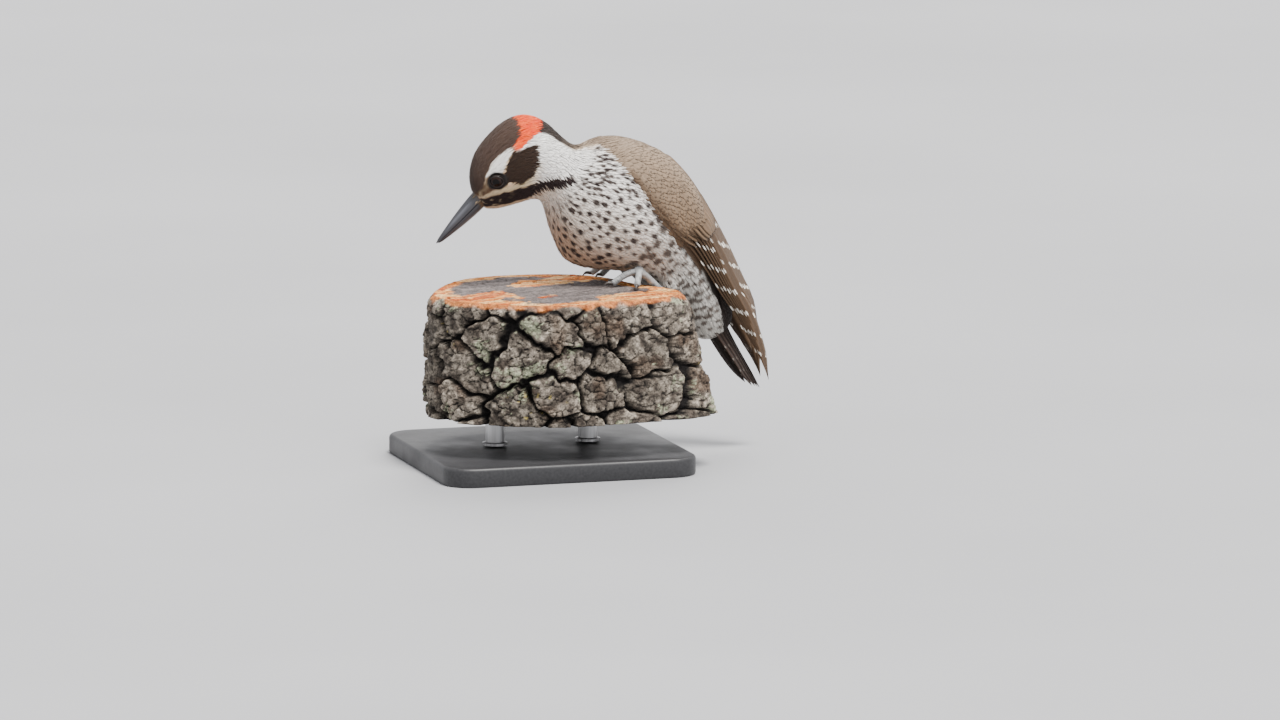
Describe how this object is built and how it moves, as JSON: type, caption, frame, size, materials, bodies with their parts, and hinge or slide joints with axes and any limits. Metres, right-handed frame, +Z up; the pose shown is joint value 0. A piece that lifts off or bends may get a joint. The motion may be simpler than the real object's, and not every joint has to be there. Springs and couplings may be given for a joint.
{
  "type": "arizona woodpecker display model",
  "caption": "Still life-size model of a male Arizona woodpecker leaning over the rim of a cut trunk, on a plain display stand.",
  "frame": {"origin": "centre of the display base's underside", "axes": "+Z up, the bird faces -Y and its left side is towards +X"},
  "size_m": [0.104, 0.1562, 0.1439],
  "materials": {
    "feathers_head": "short soft feathers, dark brown with white stripes and a red nape band",
    "feathers_body": "soft feathers, white with brown spots below, plain brown back",
    "feathers_wing": "smooth stiff feathers, brown with rows of small white spots",
    "feathers_tail": "stiff pointed feathers, blackish brown",
    "bill": "slate grey horn, satin",
    "eye": "dark and wet-looking",
    "leg_skin": "grey scaled skin",
    "claw": "dark horn, satin",
    "trunk_wood": "furrowed grey bark and a rough orange sawn top",
    "stand_paint": "satin dark paint",
    "stand_metal": "brushed"
  },
  "bodies": {
    "root": {"head": "feathers_head", "neck": "feathers_body", "trunk": "feathers_body", "leg_left": "feathers_body", "leg_right": "feathers_body", "wing_left": "feathers_wing", "wing_right": "feathers_wing", "tail": "feathers_tail", "bill_upper": "bill", "bill_lower": "bill", "eye_left": "eye", "eye_right": "eye", "foot_left": "leg_skin", "foot_right": "leg_skin", "claw_hallux_left": "claw", "claw_hallux_right": "claw", "claw_inner_left": "claw", "claw_inner_right": "claw", "claw_middle_left": "claw", "claw_middle_right": "claw", "claw_outer_left": "claw", "claw_outer_right": "claw", "perch": "trunk_wood", "stand_base": "stand_paint", "stand_rod_front": "stand_metal", "stand_rod_back": "stand_metal"}
  },
  "joints": []
}
